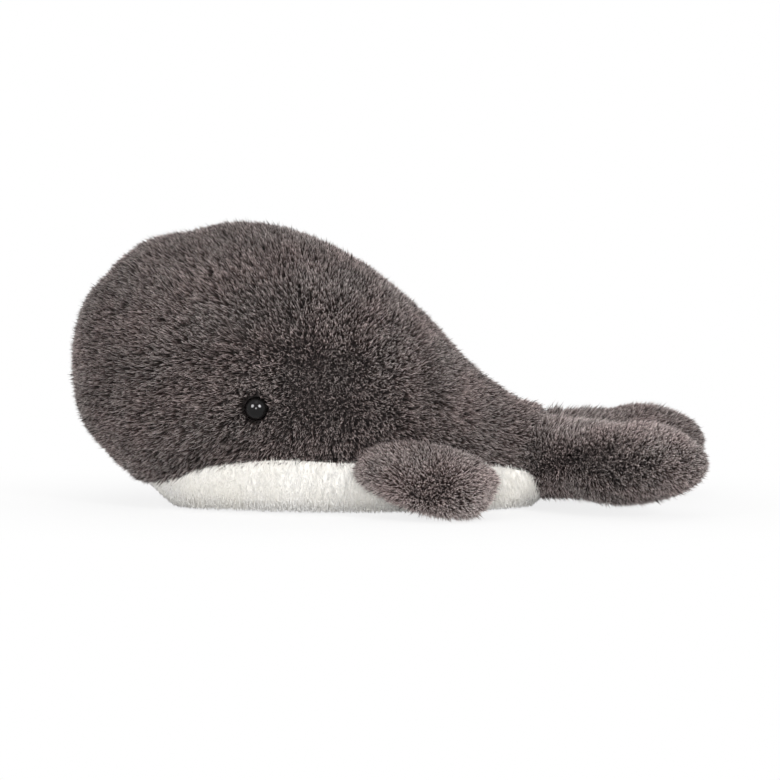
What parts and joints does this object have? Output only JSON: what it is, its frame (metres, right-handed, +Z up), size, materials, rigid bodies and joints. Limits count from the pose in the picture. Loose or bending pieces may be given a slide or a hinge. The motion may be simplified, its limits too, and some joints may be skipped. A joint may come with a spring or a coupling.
{
  "type": "plush whale",
  "caption": "Stuffed toy whale in grey long-pile plush with a white belly, gloss black eyes, and stuffed flippers and tail flukes that bend at their seams.",
  "frame": {"origin": "middle of the bounding box, on the surface that the whale's belly lies on", "axes": "+X from the nose to the tail, +Z up, -Y the whale's left side"},
  "size_m": [0.24, 0.1324, 0.107],
  "materials": {
    "grey_plush": "silky long-pile plush, charcoal grey with lighter tips",
    "white_plush": "soft white plush",
    "stuffing_fibre": "loose polyester fibre",
    "pellet_pouch": "woven pouch filled with pellets",
    "eye_gloss": "polished black",
    "washer_plastic": "moulded"
  },
  "bodies": {
    "whale_body": {"side_panel_left": "grey_plush", "side_panel_right": "grey_plush", "belly_panel": "white_plush", "body_stuffing": "stuffing_fibre", "pellet_pouch": "pellet_pouch", "eye_left": "eye_gloss", "eye_right": "eye_gloss", "eye_washer_left": "washer_plastic", "eye_washer_right": "washer_plastic"},
    "flipper_left": {"flipper_left_upper_panel": "grey_plush", "flipper_left_under_panel": "grey_plush", "flipper_left_stuffing": "stuffing_fibre"},
    "flipper_right": {"flipper_right_upper_panel": "grey_plush", "flipper_right_under_panel": "grey_plush", "flipper_right_stuffing": "stuffing_fibre"},
    "fluke_left": {"fluke_left_upper_panel": "grey_plush", "fluke_left_under_panel": "grey_plush", "fluke_left_stuffing": "stuffing_fibre"},
    "fluke_right": {"fluke_right_upper_panel": "grey_plush", "fluke_right_under_panel": "grey_plush", "fluke_right_stuffing": "stuffing_fibre"}
  },
  "joints": [
    {"name": "flipper_left_flap", "type": "hinge", "parent": "whale_body", "child": "flipper_left", "pos_m": [0.00275, -0.04392, 0.01956], "axis": [-0.9698, -0.2438, 0], "range_deg": [-30, 45], "stiffness_Nm_per_rad": 0.05},
    {"name": "fluke_left_flap", "type": "hinge", "parent": "whale_body", "child": "fluke_left", "pos_m": [0.046, -0.022, 0.02128], "axis": [0, -1, 0], "range_deg": [-25, 35], "stiffness_Nm_per_rad": 0.15},
    {"name": "flipper_right_flap", "type": "hinge", "parent": "whale_body", "child": "flipper_right", "pos_m": [0.00275, 0.04392, 0.01956], "axis": [0.9698, -0.2438, 0], "range_deg": [-30, 45], "stiffness_Nm_per_rad": 0.05},
    {"name": "fluke_right_flap", "type": "hinge", "parent": "whale_body", "child": "fluke_right", "pos_m": [0.046, 0.022, 0.02128], "axis": [0, -1, 0], "range_deg": [-25, 35], "stiffness_Nm_per_rad": 0.15}
  ]
}
